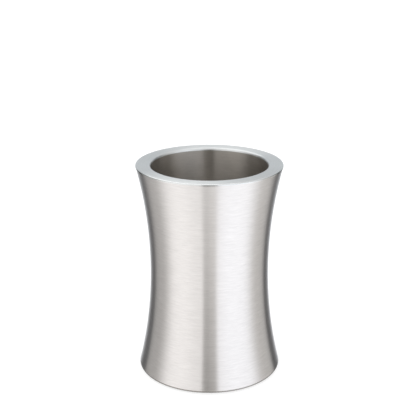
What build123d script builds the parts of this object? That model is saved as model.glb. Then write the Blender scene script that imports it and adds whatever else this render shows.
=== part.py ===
from build123d import *

import math
import os

# Double-wall stainless bottle cooler with a drawn-in waist. Millimetres, +Z up.
# Every piece is turned about the Z axis, and the origin is on that axis, at the
# underside of the non-slip foot. Half sections are drawn as (radius, level).

# ---------------------------------------------------------------- driving dimensions
body_height = 200.0  # steel body, from its foot edge to its rim
foot_gap = 0.8  # how far the rubber foot stands below the steel
rim_radius = 68.0  # outside of the rim, and of the foot edge before it is rounded
waist_radius = 55.7  # outside of the wall at half height
sheet = 0.5  # gauge of every steel pressing

# Liner: a deep-drawn cup with a wide flat flange
mouth_radius = 54.1  # inside, just under the flange
well_radius = 48.2  # inside, where the wall would meet the floor
well_floor_rise = 10.4  # top of the floor above the foot edge
well_corner_radius = 8.0  # inside radius between wall and floor
mouth_bend_radius = 2.5  # polished bend from the flange into the well
rim_bend_radius = 1.2  # polished bend at the flange's outer edge
hem_height = 1.3  # flange edge folded down over the shell

# Shell: the waisted outer wall
hem_clearance = 0.05  # shell's neck inside the folded flange edge
neck_blend_radius = 2.0  # from the flared wall into the upright neck
ledge_bend_radius = 0.6
foot_bend_radius = 1.6  # rounded edge that the body seems to stand on
rim_ledge_width = 5.0  # turned in under the flange
foot_ledge_width = 6.0  # turned in under the base pan

# Gaskets and the base
gasket_thickness = 0.4
gasket_inset = 0.8  # rim gasket kept back from the neck's bend
pan_clearance = 0.2  # base pan's skirt to the shell
pan_skirt_height = 5.0
pan_corner_radius = 1.5
panel_radius = 42.0  # raised middle of the base pan
panel_rise = 2.2
panel_slope_width = 3.0
panel_bend_radius = 1.2
foot_outer_radius = 58.0
foot_inner_radius = 48.0
foot_edge_chamfer = 0.3

# Vent plug and the pad under the liner
vent_radius = 3.0
plug_clearance = 0.05
plug_head_radius = 4.6
plug_head_height = 1.0
plug_barb_radius = 3.7
plug_barb_height = 1.4
plug_tip_radius = 2.6
pad_outer_radius = 36.0
pad_inner_radius = 9.0
pad_edge_chamfer = 0.5

# ------------------------------------------------------------------- worked-out levels
half_sheet = sheet / 2
foot_level = foot_gap
waist_level = foot_gap + body_height / 2
rim_level = foot_gap + body_height

waist_depth = rim_radius - waist_radius
wall_arc_radius = ((body_height / 2) ** 2 + waist_depth**2) / (2 * waist_depth)
wall_arc_centre = waist_radius + wall_arc_radius

rim_ledge_top = rim_level - sheet - gasket_thickness
foot_ledge_top = foot_level + sheet
pan_underside = foot_ledge_top + gasket_thickness
panel_underside = pan_underside + panel_rise
panel_top = panel_underside + sheet
well_floor = foot_level + well_floor_rise
well_underside = well_floor - sheet


def wall_radius(level, inset=0.0):
    """Radius of the waisted wall at a level, an inset in from its outside face."""
    rise = level - waist_level
    return wall_arc_centre - math.sqrt((wall_arc_radius + inset) ** 2 - rise**2)


def wall_top_level(radius, inset=0.0):
    """Level above the waist where the wall reaches a radius."""
    reach = wall_arc_centre - radius
    return waist_level + math.sqrt((wall_arc_radius + inset) ** 2 - reach**2)


def rounded(line, corners):
    """Section line with the given (point, radius) corners rounded."""
    wire = Wire(line)
    for point, radius in corners:
        vertex = wire.vertices().sort_by_distance(point)[0]
        wire = wire.fillet_2d(radius, [vertex])
    return wire


def turned(section):
    """Whole turn about the Z axis of a half section."""
    return revolve(Plane.XZ * section, Axis.Z)


def turned_outline(*points):
    """Whole turn of a closed outline of straight edges."""
    return turned(make_face(Polyline(*points, close=True)))


def pressed(middle_line):
    """Turned steel pressing whose middle line is given."""
    return turned(trace(middle_line, sheet))


def outer_shell():
    """Waisted outer wall, turned in under the flange and under the base pan."""
    foot_middle = foot_level + half_sheet
    ledge_middle = rim_ledge_top - half_sheet
    neck_middle = rim_radius - sheet - hem_clearance - half_sheet
    foot_corner = (wall_radius(foot_middle, half_sheet), foot_middle)
    waist = (waist_radius - half_sheet, waist_level)
    neck_bottom = (neck_middle, wall_top_level(neck_middle, half_sheet))
    neck_top = (neck_middle, ledge_middle)
    foot_ledge_end = (rim_radius - foot_bend_radius - foot_ledge_width, foot_middle)
    rim_ledge_end = (neck_middle - rim_ledge_width, ledge_middle)
    line = [
        Line(foot_ledge_end, foot_corner),
        ThreePointArc(foot_corner, waist, neck_bottom),
        Line(neck_bottom, neck_top),
        Line(neck_top, rim_ledge_end),
    ]
    corners = [
        (foot_corner, foot_bend_radius - half_sheet),
        (neck_bottom, neck_blend_radius),
        (neck_top, ledge_bend_radius - half_sheet),
    ]
    return pressed(rounded(line, corners))


def inner_liner():
    """Deep-drawn bottle well with its flat flange and folded edge."""
    floor_middle = well_floor - half_sheet
    flange_middle = rim_level - half_sheet
    floor_corner = (well_radius + half_sheet, floor_middle)
    mouth_corner = (mouth_radius + half_sheet, flange_middle)
    hem_corner = (rim_radius - half_sheet, flange_middle)
    hem_end = (rim_radius - half_sheet, rim_level - hem_height)
    line = [
        Line((0, floor_middle), floor_corner),
        Line(floor_corner, mouth_corner),
        Line(mouth_corner, hem_corner),
        Line(hem_corner, hem_end),
    ]
    corners = [
        (floor_corner, well_corner_radius + half_sheet),
        (mouth_corner, mouth_bend_radius - half_sheet),
        (hem_corner, rim_bend_radius - half_sheet),
    ]
    return pressed(rounded(line, corners))


def base_pan():
    """Disc that closes the base, with a skirt, a raised middle and a vent hole."""
    ring_middle = pan_underside + half_sheet
    panel_middle = panel_underside + half_sheet
    skirt_top = pan_underside + pan_skirt_height
    skirt_middle = wall_radius(skirt_top, sheet) - pan_clearance - half_sheet
    skirt_corner = (skirt_middle, ring_middle)
    slope_foot = (panel_radius + panel_slope_width, ring_middle)
    slope_top = (panel_radius, panel_middle)
    line = [
        Line((vent_radius, panel_middle), slope_top),
        Line(slope_top, slope_foot),
        Line(slope_foot, skirt_corner),
        Line(skirt_corner, (skirt_middle, skirt_top)),
    ]
    corners = [
        (slope_top, panel_bend_radius),
        (slope_foot, panel_bend_radius),
        (skirt_corner, pan_corner_radius),
    ]
    return pressed(rounded(line, corners))


def flat_gasket(inner_radius, outer_radius, bottom):
    """Flat ring of gasket strip."""
    top = bottom + gasket_thickness
    return turned_outline(
        (inner_radius, bottom), (outer_radius, bottom), (outer_radius, top), (inner_radius, top)
    )


def rim_gasket():
    """Gasket between the shell's upper ledge and the liner's flange."""
    outer = rim_radius - sheet - hem_clearance - gasket_inset
    return flat_gasket(outer - rim_ledge_width + gasket_inset, outer, rim_ledge_top)


def base_gasket():
    """Gasket between the shell's foot ledge and the base pan."""
    outer = rim_radius - foot_bend_radius - gasket_inset
    return flat_gasket(outer - foot_ledge_width + gasket_inset, outer, foot_ledge_top)


def foot_ring():
    """Non-slip ring bonded under the base pan: the only piece that touches the table."""
    edge = foot_edge_chamfer
    return turned_outline(
        (foot_inner_radius, pan_underside),
        (foot_inner_radius, edge),
        (foot_inner_radius + edge, 0),
        (foot_outer_radius - edge, 0),
        (foot_outer_radius, edge),
        (foot_outer_radius, pan_underside),
    )


def vent_plug():
    """Push-in plug that closes the air gap's vent hole from below."""
    stem = vent_radius - plug_clearance
    head_bottom = panel_underside - plug_head_height
    barb_top = panel_top + plug_barb_height
    return turned_outline(
        (0, head_bottom),
        (plug_head_radius, head_bottom),
        (plug_head_radius, panel_underside),
        (stem, panel_underside),
        (stem, panel_top),
        (plug_barb_radius, panel_top),
        (plug_tip_radius, barb_top),
        (0, barb_top),
    )


def liner_pad():
    """Foam ring that carries the liner's floor on the base pan, inside the air gap."""
    edge = pad_edge_chamfer
    return turned_outline(
        (pad_inner_radius, panel_top),
        (pad_outer_radius - edge, panel_top),
        (pad_outer_radius, panel_top + edge),
        (pad_outer_radius, well_underside - edge),
        (pad_outer_radius - edge, well_underside),
        (pad_inner_radius, well_underside),
    )


pieces = [
    outer_shell,
    inner_liner,
    rim_gasket,
    base_gasket,
    base_pan,
    foot_ring,
    vent_plug,
    liner_pad,
]

os.makedirs("parts", exist_ok=True)
for make_piece in pieces:
    export_step(make_piece(), f"parts/{make_piece.__name__}.step")
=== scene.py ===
"""Looks of a double-wall stainless bottle cooler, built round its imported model.

Lengths are in metres and the Z axis is the axis that every piece is turned about. The pieces are
grouped as they come apart on a bench: the waisted shell, the liner and the base. Each new piece is
a section line, drawn point to point as (radius, level), rounded at its bends and spun.
"""

import logging
import math
from dataclasses import dataclass
from enum import Enum

import bmesh
import bpy
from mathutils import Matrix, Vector


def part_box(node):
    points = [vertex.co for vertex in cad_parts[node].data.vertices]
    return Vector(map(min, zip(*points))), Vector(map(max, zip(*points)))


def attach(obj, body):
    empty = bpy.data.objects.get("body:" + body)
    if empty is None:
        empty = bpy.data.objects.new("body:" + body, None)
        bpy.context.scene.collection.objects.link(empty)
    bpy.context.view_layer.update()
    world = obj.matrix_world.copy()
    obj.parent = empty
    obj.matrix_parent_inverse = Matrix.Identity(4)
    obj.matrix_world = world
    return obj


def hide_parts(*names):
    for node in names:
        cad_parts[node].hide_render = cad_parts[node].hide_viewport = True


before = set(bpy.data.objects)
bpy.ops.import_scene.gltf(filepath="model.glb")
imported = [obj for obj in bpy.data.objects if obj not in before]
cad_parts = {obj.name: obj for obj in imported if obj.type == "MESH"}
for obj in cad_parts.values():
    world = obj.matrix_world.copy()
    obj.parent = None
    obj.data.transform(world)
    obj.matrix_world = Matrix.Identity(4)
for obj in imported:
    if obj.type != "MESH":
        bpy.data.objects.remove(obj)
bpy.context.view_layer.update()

MM = 0.001
BODY = "root"
WRAP = "wrap"
RUN = "run"
TURN_STEPS = 256
BEND_STEPS = 6
CUT_EDGE_ANGLE = math.radians(60)
SHARP_ANGLE = math.radians(40)
ACROSS_THE_GRAIN = 0.25  # of a turn, so that a reflection is blurred across the grain
CARD_FOOT, CARD_TOP = -0.8, 0.3  # sines of the elevations of a card's foot and top
LOG = logging.getLogger("cooler")

Point = tuple[float, float]
Colour = tuple[float, float, float, float]


def linear(hex_code: str) -> Colour:
    """Turn an sRGB hex colour into the linear colour that shaders take.

    Args:
        hex_code: Six hex digits after a hash sign.

    Returns:
        Linear red, green, blue and an alpha of 1.
    """
    channels = [int(hex_code[start:start + 2], 16) / 255 for start in (1, 3, 5)]
    red, green, blue = (c / 12.92 if c <= 0.04045 else ((c + 0.055) / 1.055) ** 2.4 for c in channels)
    return red, green, blue, 1.0


# ------------------------------------------------------------------------------ node trees


class Nodes:
    """A node tree that grows by one small call per node."""

    def __init__(self, tree: bpy.types.NodeTree) -> None:
        """Start on an emptied tree."""
        self.tree = tree
        tree.nodes.clear()

    def add(self, kind: str, settings: dict | None = None, **inputs: object) -> bpy.types.Node:
        """Add a node with its settings and links.

        Args:
            kind: Type name of the node.
            settings: Properties of the node itself.
            **inputs: Socket values or sources, named with underscores for spaces. A name of
                the form in_2 is the third socket.

        Returns:
            The new node.
        """
        node = self.tree.nodes.new(kind)
        for name, value in (settings or {}).items():
            setattr(node, name, value)
        for name, value in inputs.items():
            key = int(name[3:]) if name.startswith("in_") else name.replace("_", " ")
            socket = node.inputs[key]
            if isinstance(value, bpy.types.NodeSocket):
                self.tree.links.new(value, socket)
            else:
                socket.default_value = value
        return node

    def math(self, operation: str, first: object, second: object = 0.0) -> bpy.types.NodeSocket:
        """Result of one Math node."""
        return self.add("ShaderNodeMath", {"operation": operation}, in_0=first, in_1=second).outputs[0]


def new_material(name: str) -> tuple[bpy.types.Material, Nodes]:
    """Make a material with an empty tree.

    Args:
        name: Its name.

    Returns:
        The material and its tree.
    """
    material = bpy.data.materials.new(name)
    material.use_nodes = True
    return material, Nodes(material.node_tree)


def wrapped_position(nodes: Nodes, around: float, across_mm: float) -> bpy.types.NodeSocket:
    """Coordinates that run round the axis and along the section, with no seam.

    Args:
        nodes: Tree to add to.
        around: Scale of the direction from the axis, so how quickly a pattern changes round it.
        across_mm: Width of one cell of the pattern along the section, in millimetres.

    Returns:
        A vector whose X and Y follow the turn, and whose Z follows the section.
    """
    place = nodes.add("ShaderNodeTexCoord").outputs["Object"]
    flat = nodes.add("ShaderNodeVectorMath", {"operation": "MULTIPLY"}, in_0=place, in_1=(1, 1, 0))
    way = nodes.add("ShaderNodeVectorMath", {"operation": "NORMALIZE"}, in_0=flat.outputs[0])
    turn = nodes.add("ShaderNodeVectorMath", {"operation": "SCALE"}, in_0=way.outputs[0], Scale=around)
    split = nodes.add("ShaderNodeSeparateXYZ", Vector=turn.outputs[0])
    run = nodes.add("ShaderNodeSeparateXYZ", Vector=nodes.add("ShaderNodeUVMap", {"uv_map": WRAP}).outputs[0])
    cells = nodes.math("MULTIPLY", run.outputs["Y"], 1 / (across_mm * MM))
    return nodes.add("ShaderNodeCombineXYZ", X=split.outputs["X"], Y=split.outputs["Y"], Z=cells).outputs[0]


def noise(nodes: Nodes, where: object, detail: float, roughness: float) -> bpy.types.NodeSocket:
    """Value of a noise pattern whose cells are one unit wide."""
    settings = {"noise_dimensions": "3D"}
    made = nodes.add(
        "ShaderNodeTexNoise", settings, Vector=where, Scale=1.0, Detail=detail, Roughness=roughness,
    )
    return made.outputs[0]


def spread(nodes: Nodes, value: object, low: float, high: float) -> bpy.types.NodeSocket:
    """The middle of a noise value spread over a range of its own."""
    settings = {"clamp": True}
    made = nodes.add("ShaderNodeMapRange", settings, in_0=value, in_1=0.3, in_2=0.7, in_3=low, in_4=high)
    return made.outputs[0]


# -------------------------------------------------------------------------------- finishes


@dataclass(frozen=True)
class BrushedSteel:
    """Stainless 18/8 sheet, brushed round its axis with an abrasive belt.

    The belt leaves long parallel scratches. They blur a reflection across the grain and leave it
    fairly clear along the grain, and their uneven depth shows as faint horizontal streaks.
    """

    name: str
    tint: str = "#d9d6d5"
    dark_tint: str = "#c3c0bf"
    roughness: float = 0.3
    roughness_swing: float = 0.05
    grain: float = 0.98
    scratch_mm: float = 0.42  # a real 180 grit scratch is near 0.1 mm, drawn coarser to show
    streak_mm: float = 1.7  # groups of deeper scratches
    scratch_depth_mm: float = 0.004
    scratch_strength: float = 0.2
    scratches_around: float = 9.0
    streaks_around: float = 4.5

    def material(self) -> bpy.types.Material:
        """Build the material.

        Returns:
            The finished material.
        """
        material, nodes = new_material(self.name)
        scratches = noise(nodes, wrapped_position(nodes, self.scratches_around, self.scratch_mm), 3.0, 0.65)
        streaks = noise(nodes, wrapped_position(nodes, self.streaks_around, self.streak_mm), 4.0, 0.7)
        both = nodes.math("MULTIPLY", nodes.math("ADD", scratches, streaks), 0.5)
        half = self.roughness_swing / 2
        rough = spread(nodes, both, self.roughness - half, self.roughness + half)
        share = spread(nodes, both, 0.0, 1.0)
        tint = nodes.add(
            "ShaderNodeMix", {"data_type": "RGBA"},
            in_0=share, in_6=linear(self.dark_tint), in_7=linear(self.tint),
        )
        bump = nodes.add(
            "ShaderNodeBump", Strength=self.scratch_strength,
            Distance=self.scratch_depth_mm * MM, Height=scratches,
        )
        grain = nodes.add("ShaderNodeTangent", {"direction_type": "UV_MAP", "uv_map": WRAP})
        shader = nodes.add(
            "ShaderNodeBsdfPrincipled", Base_Color=tint.outputs[2], Metallic=1.0, Roughness=rough,
            Anisotropic=self.grain, Anisotropic_Rotation=ACROSS_THE_GRAIN, Normal=bump.outputs[0],
            Tangent=grain.outputs[0],
        )
        nodes.add("ShaderNodeOutputMaterial", Surface=shader.outputs[0])
        return material


@dataclass(frozen=True)
class SatinSteel:
    """Stainless sheet buffed after pressing: an even soft shine without scratches that show.

    A turned rim keeps some grain, which draws its reflection out along the radius. With no grain
    the shine is the same all ways.
    """

    name: str
    tint: str = "#d0d2d2"
    dark_tint: str = "#c7c9c9"
    roughness: float = 0.34
    roughness_swing: float = 0.05
    mottle_mm: float = 1.2
    mottle_around: float = 6.0
    grain: float = 0.85

    def material(self) -> bpy.types.Material:
        """Build the material.

        Returns:
            The finished material.
        """
        material, nodes = new_material(self.name)
        mottle = noise(nodes, wrapped_position(nodes, self.mottle_around, self.mottle_mm), 3.0, 0.6)
        half = self.roughness_swing / 2
        rough = spread(nodes, mottle, self.roughness - half, self.roughness + half)
        share = spread(nodes, mottle, 0.0, 1.0)
        tint = nodes.add(
            "ShaderNodeMix", {"data_type": "RGBA"},
            in_0=share, in_6=linear(self.dark_tint), in_7=linear(self.tint),
        )
        bump = nodes.add("ShaderNodeBump", Strength=0.1, Distance=0.003 * MM, Height=mottle)
        grain = nodes.add("ShaderNodeTangent", {"direction_type": "UV_MAP", "uv_map": WRAP})
        shader = nodes.add(
            "ShaderNodeBsdfPrincipled", Base_Color=tint.outputs[2], Metallic=1.0, Roughness=rough,
            Anisotropic=self.grain, Anisotropic_Rotation=ACROSS_THE_GRAIN, Normal=bump.outputs[0],
            Tangent=grain.outputs[0],
        )
        nodes.add("ShaderNodeOutputMaterial", Surface=shader.outputs[0])
        return material


@dataclass(frozen=True)
class MouldedRubber:
    """Moulded rubber with a fine matt grain, which takes the shine off its edges."""

    name: str
    tint: str
    grain_mm: float = 0.6
    roughness: float = 0.75

    def material(self) -> bpy.types.Material:
        """Build the material.

        Returns:
            The finished material.
        """
        material, nodes = new_material(self.name)
        place = nodes.add("ShaderNodeTexCoord").outputs["Object"]
        cells = nodes.add(
            "ShaderNodeVectorMath", {"operation": "SCALE"}, in_0=place, Scale=1 / (self.grain_mm * MM),
        )
        grain = noise(nodes, cells.outputs[0], 2.0, 0.5)
        rough = spread(nodes, grain, self.roughness - 0.08, self.roughness + 0.08)
        bump = nodes.add("ShaderNodeBump", Strength=0.4, Distance=0.02 * MM, Height=grain)
        shader = nodes.add(
            "ShaderNodeBsdfPrincipled", Base_Color=linear(self.tint), Roughness=rough, IOR=1.5,
            Normal=bump.outputs[0],
        )
        nodes.add("ShaderNodeOutputMaterial", Surface=shader.outputs[0])
        return material


@dataclass(frozen=True)
class MouldedFoam:
    """Closed-cell foam cut from sheet: soft, matt, with open cells that pit its skin."""

    name: str
    tint: str = "#e4e2dc"
    dark_tint: str = "#d3d0c8"
    cell_mm: float = 0.8

    def material(self) -> bpy.types.Material:
        """Build the material.

        Returns:
            The finished material.
        """
        material, nodes = new_material(self.name)
        place = nodes.add("ShaderNodeTexCoord").outputs["Object"]
        cells = nodes.add(
            "ShaderNodeTexVoronoi", {"feature": "F1"}, Vector=place, Scale=1 / (self.cell_mm * MM),
        ).outputs["Distance"]
        tint = nodes.add(
            "ShaderNodeMix", {"data_type": "RGBA"},
            in_0=cells, in_6=linear(self.tint), in_7=linear(self.dark_tint),
        )
        bump = nodes.add("ShaderNodeBump", Strength=0.5, Distance=0.1 * MM, Height=cells)
        shader = nodes.add(
            "ShaderNodeBsdfPrincipled", Base_Color=tint.outputs[2], Roughness=0.9,
            Normal=bump.outputs[0],
        )
        nodes.add("ShaderNodeOutputMaterial", Surface=shader.outputs[0])
        return material


# --------------------------------------------------------------------------- turned pieces


class Section:
    """Half section of a turned piece, drawn as a line of edges in the XZ plane."""

    def __init__(self, start: Point) -> None:
        """Put the pen down at a (radius, level) point."""
        self.mesh = bmesh.new()
        self.run = self.mesh.verts.layers.float.new(RUN)
        self.pen = self.mesh.verts.new((start[0], 0, start[1]))
        self.first = self.pen
        self.bends: list[tuple[bmesh.types.BMVert, float]] = []

    def line_to(self, point: Point, bend: float = 0.0) -> "Section":
        """Draw a straight edge.

        Args:
            point: Its far end, as (radius, level).
            bend: Radius that the corner at that end gets.

        Returns:
            This section, for the next stroke.
        """
        made = bmesh.ops.extrude_vert_indiv(self.mesh, verts=[self.pen])["verts"][0]
        made.co = (point[0], 0, point[1])
        return self._bent(made, bend)

    def arc_about(self, centre: Point, angle: float, steps: int, bend: float = 0.0) -> "Section":
        """Draw an arc by spinning the pen about a centre.

        Args:
            centre: Centre of the arc, as (radius, level).
            angle: Turn about +Y, in radians.
            steps: Edges in the arc.
            bend: Radius that the corner at its far end gets.

        Returns:
            This section, for the next stroke.
        """
        hub = (centre[0], 0, centre[1])
        made = bmesh.ops.spin(
            self.mesh, geom=[self.pen], cent=hub, axis=(0, 1, 0), dvec=(0, 0, 0), angle=angle,
            steps=steps, use_merge=False, use_duplicate=False,
        )
        last = [item for item in made["geom_last"] if isinstance(item, bmesh.types.BMVert)][0]
        return self._bent(last, bend)

    def close(self) -> "Section":
        """Join the pen to the start, for a solid section."""
        self.mesh.edges.new((self.pen, self.first))
        return self

    def _bent(self, made: bmesh.types.BMVert, bend: float) -> "Section":
        """Move the pen to a new point and note the bend there."""
        if bend:
            self.bends.append((made, bend))
        self.pen = made
        return self

    def _round(self) -> None:
        """Round the noted corners with arcs of their radii."""
        for corner, radius in self.bends:
            ways = [(edge.other_vert(corner).co - corner.co) for edge in corner.link_edges]
            turn = math.pi - ways[0].angle(ways[1])
            bmesh.ops.bevel(
                self.mesh, geom=[corner], offset=radius * math.tan(turn / 2), offset_type="OFFSET",
                segments=BEND_STEPS, profile=0.5, affect="VERTICES", material=-1,
            )

    def _measure(self) -> None:
        """Write each point's distance along the line into the run layer."""
        ends = [vert for vert in self.mesh.verts if len(vert.link_edges) == 1]
        here = min(ends or self.mesh.verts, key=lambda vert: vert.co.x)
        seen = {here}
        length = 0.0
        while here:
            here[self.run] = length
            steps = [(edge.other_vert(here), edge.calc_length()) for edge in here.link_edges]
            ahead = [(vert, size) for vert, size in steps if vert not in seen]
            here, step = ahead[0] if ahead else (None, 0.0)
            seen.add(here)
            length += step

    def spun(self) -> bmesh.types.BMesh:
        """Round, measure and spin the section once round the Z axis.

        Returns:
            The closed or open surface, its faces pointing out.
        """
        self._round()
        self._measure()
        everything = self.mesh.verts[:] + self.mesh.edges[:]
        bmesh.ops.spin(
            self.mesh, geom=everything, cent=(0, 0, 0), axis=(0, 0, 1), dvec=(0, 0, 0),
            angle=math.tau, steps=TURN_STEPS, use_merge=True, use_duplicate=False,
        )
        bmesh.ops.remove_doubles(self.mesh, verts=self.mesh.verts[:], dist=0.001 * MM)
        bmesh.ops.recalc_face_normals(self.mesh, faces=self.mesh.faces[:])
        return self.mesh


def face_near(mesh: bmesh.types.BMesh, point: Point) -> bmesh.types.BMFace:
    """Face whose middle is nearest to a (radius, level) point."""
    def gap(face: bmesh.types.BMFace) -> float:
        middle = face.calc_center_median()
        return (middle.xy.length - point[0]) ** 2 + (middle.z - point[1]) ** 2
    return min(mesh.faces, key=gap)


def thickened(mesh: bmesh.types.BMesh, sheet: float, near: Point, way: Point, edge: float) -> None:
    """Give a spun surface the thickness of its sheet, and break its cut edges.

    Args:
        mesh: Surface of the side that is seen.
        sheet: Thickness.
        near: A (radius, level) point on that side.
        way: Direction that the side faces there, as (outwards, upwards).
        edge: Width of the broken edges.
    """
    face = face_near(mesh, near)
    middle = face.calc_center_median()
    outwards = Vector((middle.x, middle.y, 0)).normalized()
    facing = outwards * way[0] + Vector((0, 0, way[1]))
    if face.normal.dot(facing) < 0:
        bmesh.ops.reverse_faces(mesh, faces=mesh.faces[:])
    bmesh.ops.solidify(mesh, geom=mesh.faces[:], thickness=sheet)
    cut = [e for e in mesh.edges if len(e.link_faces) == 2 and e.calc_face_angle() > CUT_EDGE_ANGLE]
    bmesh.ops.bevel(
        mesh, geom=cut, offset=edge, offset_type="OFFSET", segments=2, profile=0.5,
        affect="EDGES", material=-1,
    )


def unwrap_round(mesh: bmesh.types.BMesh) -> None:
    """Lay the wrap map: U is the share of a turn and V the distance along the section."""
    wrap = mesh.loops.layers.uv.new(WRAP)
    run = mesh.verts.layers.float[RUN]
    for face in mesh.faces:
        middle = face.calc_center_median()
        base = math.atan2(middle.y, middle.x)
        for loop in face.loops:
            place = loop.vert.co
            off_axis = place.xy.length > MM
            angle = math.atan2(place.y, place.x) if off_axis else base
            turn = (angle - base + math.pi) % math.tau - math.pi + base
            loop[wrap].uv = (turn / math.tau, loop.vert[run])


def finished(
    mesh: bmesh.types.BMesh, name: str, node: str, materials: list[bpy.types.Material],
) -> bpy.types.Object:
    """Turn a bmesh into a smooth piece that stands for a node.

    Args:
        mesh: The finished mesh, which is freed.
        name: Name of the piece.
        node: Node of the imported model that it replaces.
        materials: Its materials, in the order of its faces' indices.

    Returns:
        The piece, riding on the body.
    """
    unwrap_round(mesh)
    data = bpy.data.meshes.new(name)
    mesh.to_mesh(data)
    mesh.free()
    data.shade_smooth()
    data.set_sharp_from_angle(angle=SHARP_ANGLE)
    for material in materials:
        data.materials.append(material)
    piece = bpy.data.objects.new(name, data)
    bpy.context.scene.collection.objects.link(piece)
    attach(piece, BODY)
    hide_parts(node)
    return piece


@dataclass(frozen=True)
class Reach:
    """How far a node reaches from the axis, and its lowest and highest levels."""

    radius: float
    bottom: float
    top: float


def reach(node: str) -> Reach:
    """Read a node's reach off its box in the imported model."""
    low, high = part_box(node)
    return Reach((high.x - low.x) / 2, low.z, high.z)


# ------------------------------------------------------------------------- sub-assemblies


@dataclass(frozen=True)
class Shell:
    """The waisted outer wall and the gasket that the liner's rim sits on."""

    sheet: float = 0.5 * MM
    waist_radius: float = 55.7 * MM
    neck_radius: float = 67.45 * MM
    neck_bend: float = 2.25 * MM
    ledge_bend: float = 0.6 * MM
    rim_ledge_edge: float = 62.2 * MM
    gasket_bore: float = 62.45 * MM
    foot_ledge_edge: float = 60.4 * MM
    foot_bend: float = 1.6 * MM
    # height of the band at the foot that gets the painted shade
    foot_shade_band: float = 1.9 * MM
    broken_edge: float = 0.06 * MM
    wall_steps: int = 64
    gasket_bend: float = 0.12 * MM
    wall: BrushedSteel = BrushedSteel("stainless_steel_belt_brushed")
    foot: SatinSteel = SatinSteel(  # a guess, and darker than the wall: painted shade, so the foot's bend has the thin dark edge of the floor's contact shadow mirrored in it
        "stainless_steel_foot_painted_shade", tint="#908c89", dark_tint="#84807d", roughness=0.25, grain=0.0,
    )
    gasket: MouldedRubber = MouldedRubber("silicone_rubber_moulded_grey", "#8d9092")

    def build(self) -> list[bpy.types.Object]:
        """Build both pieces."""
        return [self.waisted_wall(), self.rim_gasket()]

    def waisted_wall(self) -> bpy.types.Object:
        """Spin the wall with its foot and neck ledges.

        Returns:
            The wall, as thick as its sheet.
        """
        whole = reach("outer_shell")
        rim = reach("inner_liner")
        rise = rim.top - whole.bottom
        waist_level = whole.bottom + rise / 2
        inset = rim.radius - self.waist_radius
        arc_radius = ((rise / 2) ** 2 + inset ** 2) / (2 * inset)
        centre = (self.waist_radius + arc_radius, waist_level)
        below = math.asin(rise / 2 / arc_radius)
        above = math.acos((centre[0] - self.neck_radius) / arc_radius)
        line = Section((self.foot_ledge_edge, whole.bottom))
        line.line_to((rim.radius, whole.bottom), self.foot_bend)
        line.arc_about(centre, below + above, self.wall_steps, self.neck_bend)
        line.line_to((self.neck_radius, whole.top), self.ledge_bend)
        line.line_to((self.rim_ledge_edge, whole.top))
        mesh = line.spun()
        thickened(mesh, self.sheet, (self.waist_radius, waist_level), (1, 0), self.broken_edge)
        # faces of the foot's bend take the darker second material, painted shade for the floor's contact
        # shadow seen in the bend
        for face in mesh.faces:
            face.material_index = int(face.calc_center_median().z < whole.bottom + self.foot_shade_band)
        return finished(mesh, "waisted_wall", "outer_shell", [self.wall.material(), self.foot.material()])

    def rim_gasket(self) -> bpy.types.Object:
        """Spin the flat ring between the wall's neck ledge and the liner's rim."""
        return flat_ring("rim_gasket_ring", "rim_gasket", self.gasket_bore, self.gasket_bend, self.gasket)


def flat_ring(name: str, node: str, bore: float, bend: float, finish: MouldedRubber) -> bpy.types.Object:
    """Spin a washer with rounded edges between a bore and a node's own reach.

    Args:
        name: Name of the piece.
        node: Node that it replaces, which gives its outer radius and its levels.
        bore: Inner radius.
        bend: Radius of its four edges.
        finish: What it is made of.

    Returns:
        The washer.
    """
    size = reach(node)
    line = Section((bore, (size.bottom + size.top) / 2))
    line.line_to((bore, size.bottom), bend).line_to((size.radius, size.bottom), bend)
    line.line_to((size.radius, size.top), bend).line_to((bore, size.top), bend).close()
    return finished(line.spun(), name, node, [finish.material()])


class Zone(Enum):
    """Parts of the liner that are finished differently."""

    WELL = 0
    RIM = 1
    BEND = 2


@dataclass(frozen=True)
class Liner:
    """The straight-sided well and its flat rim, rolled over the shell's neck, in one drawn piece."""

    sheet: float = 0.5 * MM
    well_radius: float = 48.2 * MM
    floor_bend: float = 8.0 * MM
    mouth_radius: float = 54.1 * MM
    mouth_bend: float = 2.5 * MM
    rim_bend: float = 1.2 * MM
    hem_overlap: float = 0.4 * MM
    broken_edge: float = 0.06 * MM
    # the well's tint is darker than the wall's: painted shade, standing for the shade deep inside the well
    well: BrushedSteel = BrushedSteel(
        "stainless_steel_drawn_brushed_painted_shade", tint="#b6b1ab", dark_tint="#a6a19b", roughness=0.32, grain=0.9,
    )
    rim: SatinSteel = SatinSteel("stainless_steel_satin_turned")
    bend: SatinSteel = SatinSteel("stainless_steel_burnished_bend", roughness=0.16, grain=0.0)

    def build(self) -> list[bpy.types.Object]:
        """Spin the liner and finish its well, rim and bends.

        Returns:
            The liner alone.
        """
        whole = reach("inner_liner")
        hem_edge = reach("outer_shell").top - self.hem_overlap
        floor = whole.bottom + self.sheet
        line = Section((0, floor))
        line.line_to((self.well_radius, floor), self.floor_bend)
        line.line_to((self.mouth_radius, whole.top), self.mouth_bend)
        line.line_to((whole.radius, whole.top), self.rim_bend)
        line.line_to((whole.radius, hem_edge))
        mesh = line.spun()
        middle_of_rim = ((self.mouth_radius + whole.radius) / 2, whole.top)
        thickened(mesh, self.sheet, middle_of_rim, (0, 1), self.broken_edge)
        for face in mesh.faces:
            face.material_index = self.zone(face, whole).value
        finishes = {Zone.WELL: self.well, Zone.RIM: self.rim, Zone.BEND: self.bend}
        materials = [finishes[zone].material() for zone in Zone]
        return [finished(mesh, "drawn_liner", "inner_liner", materials)]

    def zone(self, face: bmesh.types.BMFace, whole: Reach) -> Zone:
        """Name the zone that a face lies in.

        Args:
            face: Face of the spun liner.
            whole: Reach of the liner.

        Returns:
            Its zone.
        """
        middle = face.calc_center_median()
        radius = middle.xy.length
        if middle.z < whole.top - self.mouth_bend:
            return Zone.WELL
        return Zone.BEND if radius > whole.radius - self.rim_bend else Zone.RIM


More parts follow.
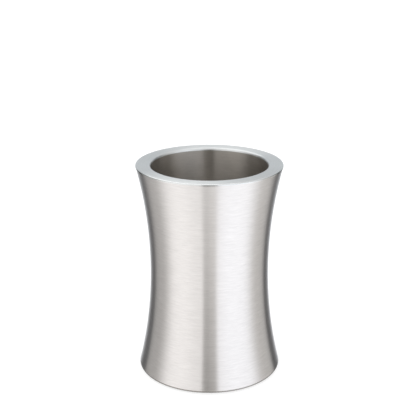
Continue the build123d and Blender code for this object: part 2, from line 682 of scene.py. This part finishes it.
@dataclass(frozen=True)
class Base:
    """What closes the shell from below: pan, gasket, foot ring, vent plug and the pad on the pan."""

    sheet: float = 0.5 * MM
    pan_skirt_bend: float = 1.75 * MM
    panel_foot: float = 45.0 * MM
    panel_radius: float = 42.0 * MM
    panel_rise: float = 2.2 * MM
    panel_bend: float = 1.2 * MM
    vent_radius: float = 3.0 * MM
    broken_edge: float = 0.06 * MM
    gasket_bore: float = 60.4 * MM
    gasket_bend: float = 0.12 * MM
    foot_bore: float = 48.0 * MM
    foot_round: float = 0.35 * MM
    groove_width: float = 1.2 * MM
    groove_depth: float = 0.5 * MM
    groove_radii: tuple[float, ...] = (50.5 * MM, 53.0 * MM, 55.5 * MM)
    plug_stem_radius: float = 2.95 * MM
    plug_barb_radius: float = 3.7 * MM
    plug_tip_radius: float = 2.6 * MM
    plug_head_height: float = 1.0 * MM
    plug_head_round: float = 0.35 * MM
    pad_bore: float = 9.0 * MM
    pad_round: float = 0.5 * MM
    pan: BrushedSteel = BrushedSteel("stainless_steel_pressed_and_brushed", roughness=0.38)
    rubber: MouldedRubber = MouldedRubber("rubber_moulded_black", "#26272a")
    silicone: MouldedRubber = MouldedRubber("silicone_rubber_moulded_pale", "#8d9092")
    plug_rubber: MouldedRubber = MouldedRubber("rubber_moulded_grey_plug", "#4a4c50")

    def build(self) -> list[bpy.types.Object]:
        """Build the five pieces."""
        gasket = flat_ring(
            "base_gasket_ring", "base_gasket", self.gasket_bore, self.gasket_bend, self.silicone,
        )
        return [self.pressed_pan(), gasket, self.foot(), self.plug(), self.pad()]

    def pressed_pan(self) -> bpy.types.Object:
        """Spin the pan, whose middle is pressed up clear of the table.

        Returns:
            The pan, as thick as its sheet.
        """
        whole = reach("base_pan")
        panel_level = whole.bottom + self.panel_rise
        line = Section((self.vent_radius, panel_level))
        line.line_to((self.panel_radius, panel_level), self.panel_bend)
        line.line_to((self.panel_foot, whole.bottom), self.panel_bend)
        line.line_to((whole.radius, whole.bottom), self.pan_skirt_bend)
        line.line_to((whole.radius, whole.top))
        mesh = line.spun()
        middle_of_panel = ((self.vent_radius + self.panel_radius) / 2, panel_level)
        thickened(mesh, self.sheet, middle_of_panel, (0, -1), self.broken_edge)
        return finished(mesh, "pressed_pan", "base_pan", [self.pan.material()])

    def foot(self) -> bpy.types.Object:
        """Spin the foot ring, with the shallow grooves that keep it from sliding.

        Returns:
            The ring.
        """
        size = reach("foot_ring")
        half = self.groove_width / 2
        line = Section((self.foot_bore, (size.bottom + size.top) / 2))
        line.line_to((self.foot_bore, size.bottom), self.foot_round)
        for radius in self.groove_radii:
            line.line_to((radius - half, size.bottom), self.foot_round / 2)
            line.line_to((radius, size.bottom + self.groove_depth), self.foot_round / 2)
            line.line_to((radius + half, size.bottom), self.foot_round / 2)
        line.line_to((size.radius, size.bottom), self.foot_round)
        line.line_to((size.radius, size.top), self.foot_round)
        line.line_to((self.foot_bore, size.top), self.foot_round).close()
        return finished(line.spun(), "foot_ring_grooved", "foot_ring", [self.rubber.material()])

    def plug(self) -> bpy.types.Object:
        """Spin the push-in plug: head below the pan, stem through it and barb above.

        Returns:
            The plug.
        """
        size = reach("vent_plug")
        seat = size.bottom + self.plug_head_height
        over = seat + self.sheet
        line = Section((0, size.bottom))
        line.line_to((size.radius, size.bottom), self.plug_head_round)
        line.line_to((size.radius, seat), self.plug_head_round / 2)
        line.line_to((self.plug_stem_radius, seat)).line_to((self.plug_stem_radius, over))
        line.line_to((self.plug_barb_radius, over), self.plug_head_round / 2)
        line.line_to((self.plug_tip_radius, size.top), self.plug_head_round)
        line.line_to((0, size.top))
        return finished(line.spun(), "vent_plug_barbed", "vent_plug", [self.plug_rubber.material()])

    def pad(self) -> bpy.types.Object:
        """Spin the foam ring that holds the well's floor clear of the pan."""
        foam = MouldedFoam("polyethylene_foam_cut")
        return flat_ring("liner_pad_ring", "liner_pad", self.pad_bore, self.pad_round, foam)


# ---------------------------------------------------------------------------------- studio


@dataclass(frozen=True)
class Card:
    """An upright panel of light, far away, that the metal mirrors as an upright stripe.

    Azimuths are in degrees, 0 towards the camera and positive to its right. An edge's softness is
    the width over which the light comes up or dies away, with the edge in its middle.
    """

    start: float
    end: float
    start_softness: float
    end_softness: float
    below: float
    above: float
    tint: str = "#ffffff"

    def lit(
        self, nodes: Nodes, azimuth: bpy.types.NodeSocket, rise: bpy.types.NodeSocket,
    ) -> bpy.types.NodeSocket:
        """Light of this card in every direction.

        Args:
            nodes: Tree of the surroundings.
            azimuth: Azimuth of the direction, in degrees.
            rise: Sine of the direction's elevation.

        Returns:
            Its colour.
        """
        smooth = {"interpolation_type": "SMOOTHSTEP"}
        edges = [
            nodes.add(
                "ShaderNodeMapRange", smooth, in_0=azimuth,
                in_1=edge - side * softness / 2, in_2=edge + side * softness / 2,
            ).outputs[0]
            for edge, softness, side in (
                (self.start, self.start_softness, 1), (self.end, self.end_softness, -1),
            )
        ]
        level = nodes.add(
            "ShaderNodeMapRange", smooth, in_0=rise, in_1=CARD_FOOT, in_2=CARD_TOP,
            in_3=self.below, in_4=self.above,
        )
        strength = nodes.math("MULTIPLY", nodes.math("MULTIPLY", *edges), level.outputs[0])
        made = nodes.add(
            "ShaderNodeVectorMath", {"operation": "SCALE"}, in_0=linear(self.tint)[:3], Scale=strength,
        )
        return made.outputs[0]


@dataclass(frozen=True)
class Studio:
    """Pale sweep, soft light all round and the camera."""

    distance: float = 4.18  # of the body's height, from the axis to the camera
    height: float = 2.175  # of the body's height, above the wall's foot
    tilt: float = 18.42  # degrees below level
    lens: float = 81.86
    shift: float = -0.00335
    floor_gap: float = 0.05 * MM
    floor_radius: float = 3.0
    wall_height: float = 4.0
    sweep_bend: float = 1.2
    ambient: float = 0.11
    bounce: float = 0.3
    bounce_rises: tuple[float, float] = (-0.6, -0.28)  # sines of the elevations it dies away between
    shade: float = 0.45  # share of the light left straight below
    shade_rises: tuple[float, float] = (-0.98, -0.82)
    ceiling_rises: tuple[float, float] = (0.36, 0.78)
    zenith: float = 1.08
    taper: float = 0.35  # how much nearer together the cards' edges stand as they rise
    taper_from: float = 0.15  # sine of how far below level the taper starts
    paper_tint: str = "#a8a8a8"
    paper_glow: float = 0.68
    cards: tuple[Card, ...] = (
        Card(153, 400, 10, 1, 1.05, 0.68, "#f6fbff"),
        Card(-400, -153, 1, 10, 1.05, 0.68, "#f6fbff"),
        Card(-125, 0, 5, 6, 0.46, 0.46, "#fffdf8"),
        Card(0, 126, 6, 5, 0.6, 0.6, "#fffdf8"),
        Card(-86, -12, 34, 2.5, 0.62, 0.7),
        Card(-84, -36, 30, 30, 0.12, 0.2),
        Card(13.5, 86, 7, 34, 0.69, 0.84, "#f2f7ff"),
        Card(26, 82, 24, 34, 0.16, 0.16, "#dcebff"),
        Card(80, 124, 20, 6, 0.0, 0.08),
        Card(-12, 14, 2.5, 7, 0.44, -0.46),
    )
    lamp_size: float = 1.3
    lamp_power: float = 3.6
    lamp_place: tuple[float, float, float] = (-0.35, 0.5, 1.26)

    def build(self) -> None:
        """Set up the surroundings, the light above, the sweep and the camera."""
        self.surroundings()
        self.light_above()
        self.sweep()
        self.camera()

    def surroundings(self) -> None:
        """Stand the cards round the set and close it with an even ceiling."""
        world = bpy.data.worlds.new("studio_surroundings")
        world.use_nodes = True
        nodes = Nodes(world.node_tree)
        smooth = {"interpolation_type": "SMOOTHSTEP"}
        way = nodes.add("ShaderNodeSeparateXYZ", Vector=nodes.add("ShaderNodeTexCoord").outputs["Generated"])
        rise = way.outputs["Z"]
        towards = nodes.math("MULTIPLY", way.outputs["Y"], -1.0)
        turn = nodes.math("ARCTAN2", way.outputs["X"], towards)
        above = nodes.math("MAXIMUM", nodes.math("ADD", rise, self.taper_from), 0.0)
        spreading = nodes.math("ADD", nodes.math("MULTIPLY", above, self.taper), 1.0)
        azimuth = nodes.math("MULTIPLY", nodes.math("DEGREES", turn), spreading)
        bounce = nodes.add(
            "ShaderNodeMapRange", smooth, in_0=rise, in_1=self.bounce_rises[0], in_2=self.bounce_rises[1],
            in_3=self.ambient + self.bounce, in_4=self.ambient,
        )
        grey = bounce.outputs[0]
        light = nodes.add("ShaderNodeCombineXYZ", X=grey, Y=grey, Z=grey).outputs[0]
        for card in self.cards:
            lit = card.lit(nodes, azimuth, rise)
            light = nodes.add("ShaderNodeVectorMath", in_0=light, in_1=lit).outputs[0]
        under = nodes.add(
            "ShaderNodeMapRange", smooth, in_0=rise, in_1=self.shade_rises[0], in_2=self.shade_rises[1],
            in_3=self.shade, in_4=1.0,
        )
        shaded = nodes.add(
            "ShaderNodeVectorMath", {"operation": "SCALE"}, in_0=light, Scale=under.outputs[0],
        )
        ceiling = nodes.add(
            "ShaderNodeMapRange", smooth, in_0=rise, in_1=self.ceiling_rises[0], in_2=self.ceiling_rises[1],
        )
        both = nodes.add(
            "ShaderNodeMix", {"data_type": "RGBA"},
            in_0=ceiling.outputs[0], in_6=shaded.outputs[0], in_7=(*[self.zenith] * 3, 1),
        )
        shader = nodes.add("ShaderNodeBackground", Color=both.outputs[2], Strength=1.0)
        nodes.add("ShaderNodeOutputWorld", Surface=shader.outputs[0])
        bpy.context.scene.world = world

    def light_above(self) -> None:
        """Hang one large soft light above the object, behind it on the left."""
        lamp = bpy.data.lights.new("soft_light_above", "AREA")
        lamp.shape = "SQUARE"
        lamp.size = self.lamp_size
        lamp.energy = self.lamp_power
        light = bpy.data.objects.new("soft_light_above", lamp)
        light.location = self.lamp_place
        light.rotation_euler = Vector(self.lamp_place).to_track_quat("Z", "Y").to_euler()
        light.visible_camera = False
        bpy.context.scene.collection.objects.link(light)

    def sweep(self) -> None:
        """Spin the floor and the wall that it curves up into, as one pale sheet.

        The metal mirrors the cards and not this sheet, and it is clear from behind, so that the
        underside can be seen.
        """
        line = Section((0, -self.floor_gap))
        line.line_to((self.floor_radius, -self.floor_gap), self.sweep_bend)
        line.line_to((self.floor_radius, self.wall_height))
        mesh = line.spun()
        if face_near(mesh, (0, 0)).normal.z < 0:
            bmesh.ops.reverse_faces(mesh, faces=mesh.faces[:])
        data = bpy.data.meshes.new("pale_sweep")
        mesh.to_mesh(data)
        mesh.free()
        data.shade_smooth()
        data.materials.append(self.paper())
        floor = bpy.data.objects.new("pale_sweep", data)
        bpy.context.scene.collection.objects.link(floor)
        floor.visible_glossy = False
        floor.visible_diffuse = False
        floor.visible_shadow = False

    def paper(self) -> bpy.types.Material:
        """Matt white backdrop paper, lit a little through, so its shadows stay faint.

        Returns:
            The material.
        """
        material, nodes = new_material("paper_matt_white")
        pale = nodes.add(
            "ShaderNodeBsdfPrincipled", Base_Color=linear(self.paper_tint), Roughness=0.9,
            Emission_Color=linear("#ffffff"), Emission_Strength=self.paper_glow,
        )
        clear = nodes.add("ShaderNodeBsdfTransparent")
        behind = nodes.add("ShaderNodeNewGeometry").outputs["Backfacing"]
        both = nodes.add("ShaderNodeMixShader", in_0=behind, in_1=pale.outputs[0], in_2=clear.outputs[0])
        nodes.add("ShaderNodeOutputMaterial", Surface=both.outputs[0])
        return material

    def camera(self) -> None:
        """Stand the camera in front, looking slightly down on the object."""
        foot = reach("outer_shell").bottom
        body = reach("inner_liner").top - foot
        lens = bpy.data.cameras.new("camera")
        lens.lens = self.lens
        lens.sensor_width = 36.0
        lens.shift_x = self.shift
        lens.clip_end = 100.0
        camera = bpy.data.objects.new("camera", lens)
        camera.location = (0, -self.distance * body, foot + self.height * body)
        camera.rotation_euler = (math.radians(90 - self.tilt), 0, 0)
        bpy.context.scene.collection.objects.link(camera)
        bpy.context.scene.camera = camera
        bpy.context.scene.view_settings.view_transform = "Standard"


def main() -> None:
    """Build the cooler from its three sub-assemblies, then the studio round it."""
    logging.basicConfig(level=logging.INFO, format="%(name)s: %(message)s")
    for part in (Shell(), Liner(), Base()):
        for piece in part.build():
            LOG.info("%s: %s, %d faces", type(part).__name__, piece.name, len(piece.data.polygons))
    Studio().build()


if __name__ == "__main__":
    main()
